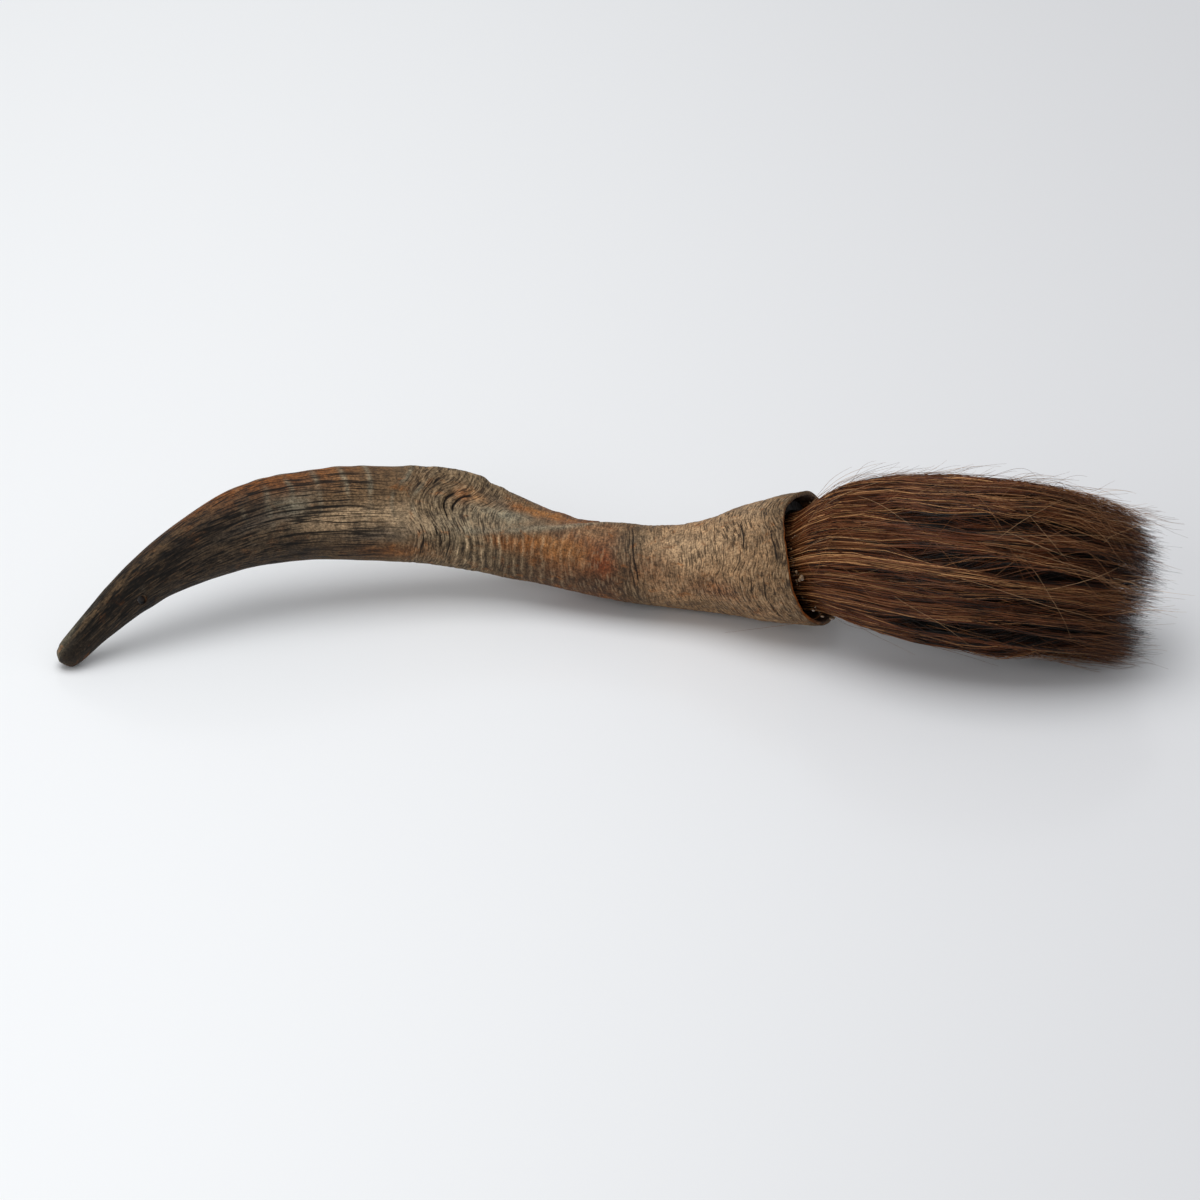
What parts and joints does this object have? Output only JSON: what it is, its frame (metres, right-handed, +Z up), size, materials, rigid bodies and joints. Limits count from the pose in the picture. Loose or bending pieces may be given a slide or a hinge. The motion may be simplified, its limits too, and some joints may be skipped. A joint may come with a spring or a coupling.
{
  "type": "horn-handled hair brush",
  "caption": "Brush with a natural twisted horn handle, drilled for hanging at its tip, and a soft horsehair tuft glued into its sawn mouth.",
  "frame": {"origin": "bottom centre of the bounding box, on the surface the brush lies on", "axes": "+X from the horn's tip to the hair, +Z up, -Y the side that the horn's mouth turns towards"},
  "size_m": [0.3308, 0.0822, 0.0587],
  "materials": {
    "horn": "satin",
    "dark_glue": "satin",
    "rosin": "gloss",
    "hair": "satin",
    "thread": "matte",
    "clear_glue": "gloss"
  },
  "bodies": {
    "handle": {"horn": "horn", "glue_bed": "dark_glue", "rosin_seal": "rosin", "hair_root": "hair", "root_binding": "thread", "glue_beads": "clear_glue"},
    "tuft": {"hair_upper_lock": "hair", "hair_middle_lock": "hair", "hair_lower_lock": "hair"}
  },
  "joints": [
    {"name": "tuft_flex", "type": "hinge", "parent": "handle", "child": "tuft", "pos_m": [0.06879, 0.00087, 0.02561], "axis": [0, 0, 1], "range_deg": [-25, 25], "stiffness_Nm_per_rad": 0.4}
  ]
}
